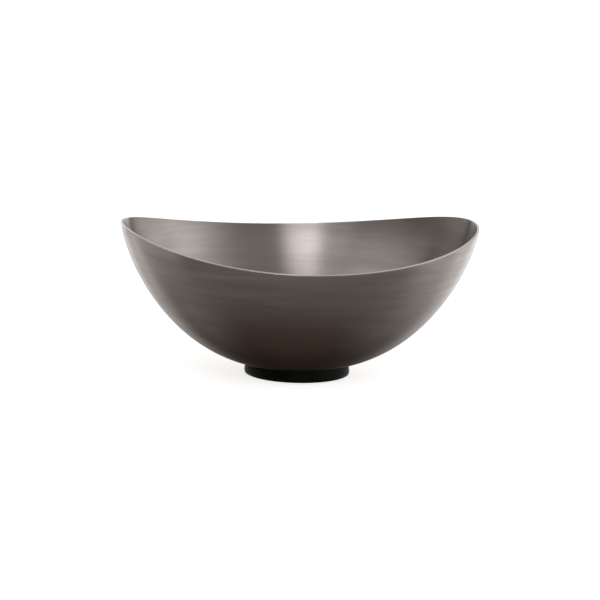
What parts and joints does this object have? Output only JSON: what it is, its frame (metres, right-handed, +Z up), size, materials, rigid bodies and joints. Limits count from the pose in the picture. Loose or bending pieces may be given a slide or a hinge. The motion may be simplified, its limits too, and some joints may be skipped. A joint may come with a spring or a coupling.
{
  "type": "oval serving bowl",
  "caption": "Oval open serving bowl of dark brushed metal sheet with a saddle-shaped rim, standing on a low round black foot.",
  "frame": {"origin": "centre of the foot, in the plane that the bowl stands on", "axes": "+X along the long axis from tip to tip, +Y across the bowl, +Z up"},
  "size_m": [0.2, 0.1636, 0.0853],
  "materials": {
    "shell_metal": "dark warm grey metal, brushed round the bowl, with a bright cut rim",
    "fixing_steel": "zinc-plated steel, satin",
    "gasket_rubber": "matt black rubber",
    "foot_plastic": "black moulded plastic, satin",
    "ring_rubber": "black rubber, matt"
  },
  "bodies": {
    "root": {"bowl_shell": "shell_metal", "weld_stud": "fixing_steel", "seat_gasket": "gasket_rubber", "foot_body": "foot_plastic", "non_slip_ring": "ring_rubber", "plain_washer": "fixing_steel", "lock_washer": "fixing_steel", "clamp_nut": "fixing_steel"}
  },
  "joints": []
}
